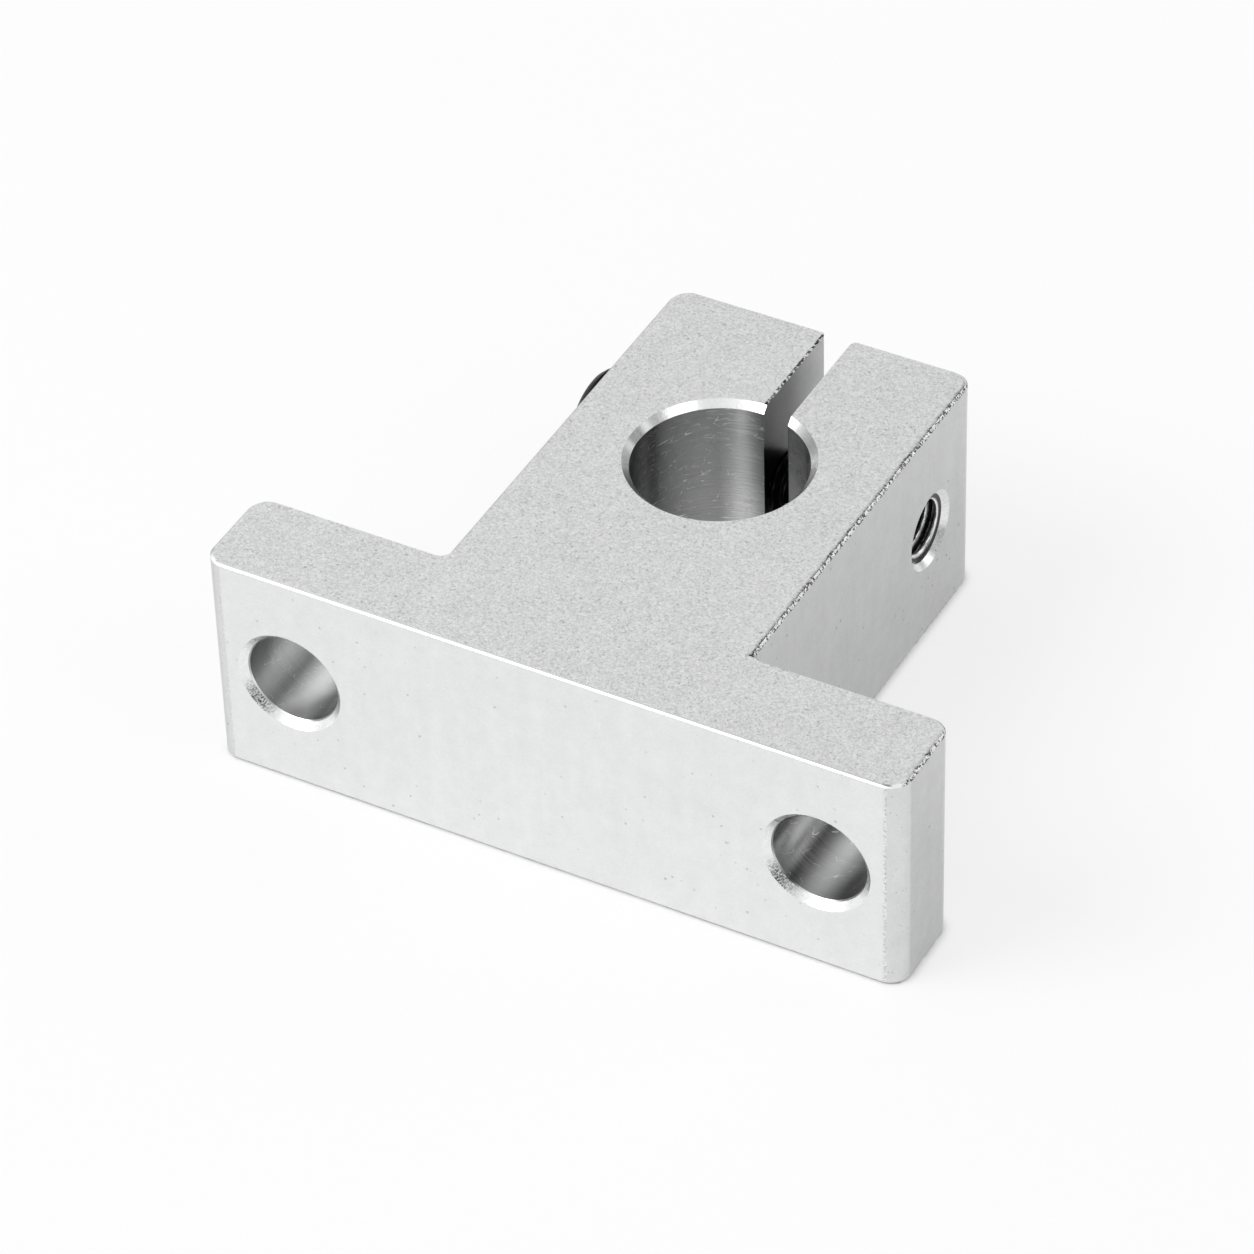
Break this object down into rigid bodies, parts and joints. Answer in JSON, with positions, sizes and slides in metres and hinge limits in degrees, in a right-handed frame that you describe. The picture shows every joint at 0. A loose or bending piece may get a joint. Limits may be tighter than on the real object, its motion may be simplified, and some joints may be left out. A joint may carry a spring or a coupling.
{
  "type": "shaft support block",
  "caption": "T-shaped aluminium block that clamps a fixed linear shaft in a split bore with a cross screw and bolts down by its base flange.",
  "frame": {"origin": "on the axis of the shaft bore, halfway through the block", "axes": "+Z along the bore, -Y out of the mounting face of the base, +X along the base flange; the block lies on its -Z side face"},
  "size_m": [0.042, 0.0328, 0.014],
  "materials": {
    "block_aluminium": "satin clear anodised, with fine blasted side faces and bright bevels",
    "black_oxide_steel": "black oxide"
  },
  "bodies": {
    "block": {"support_block": "block_aluminium"},
    "screw": {"clamp_screw": "black_oxide_steel"}
  },
  "joints": [
    {"name": "clamp_screw_turn", "type": "hinge", "parent": "block", "child": "screw", "pos_m": [0, 0.0073, 0], "axis": [-1, 0, 0], "range_deg": [0, 270]}
  ]
}
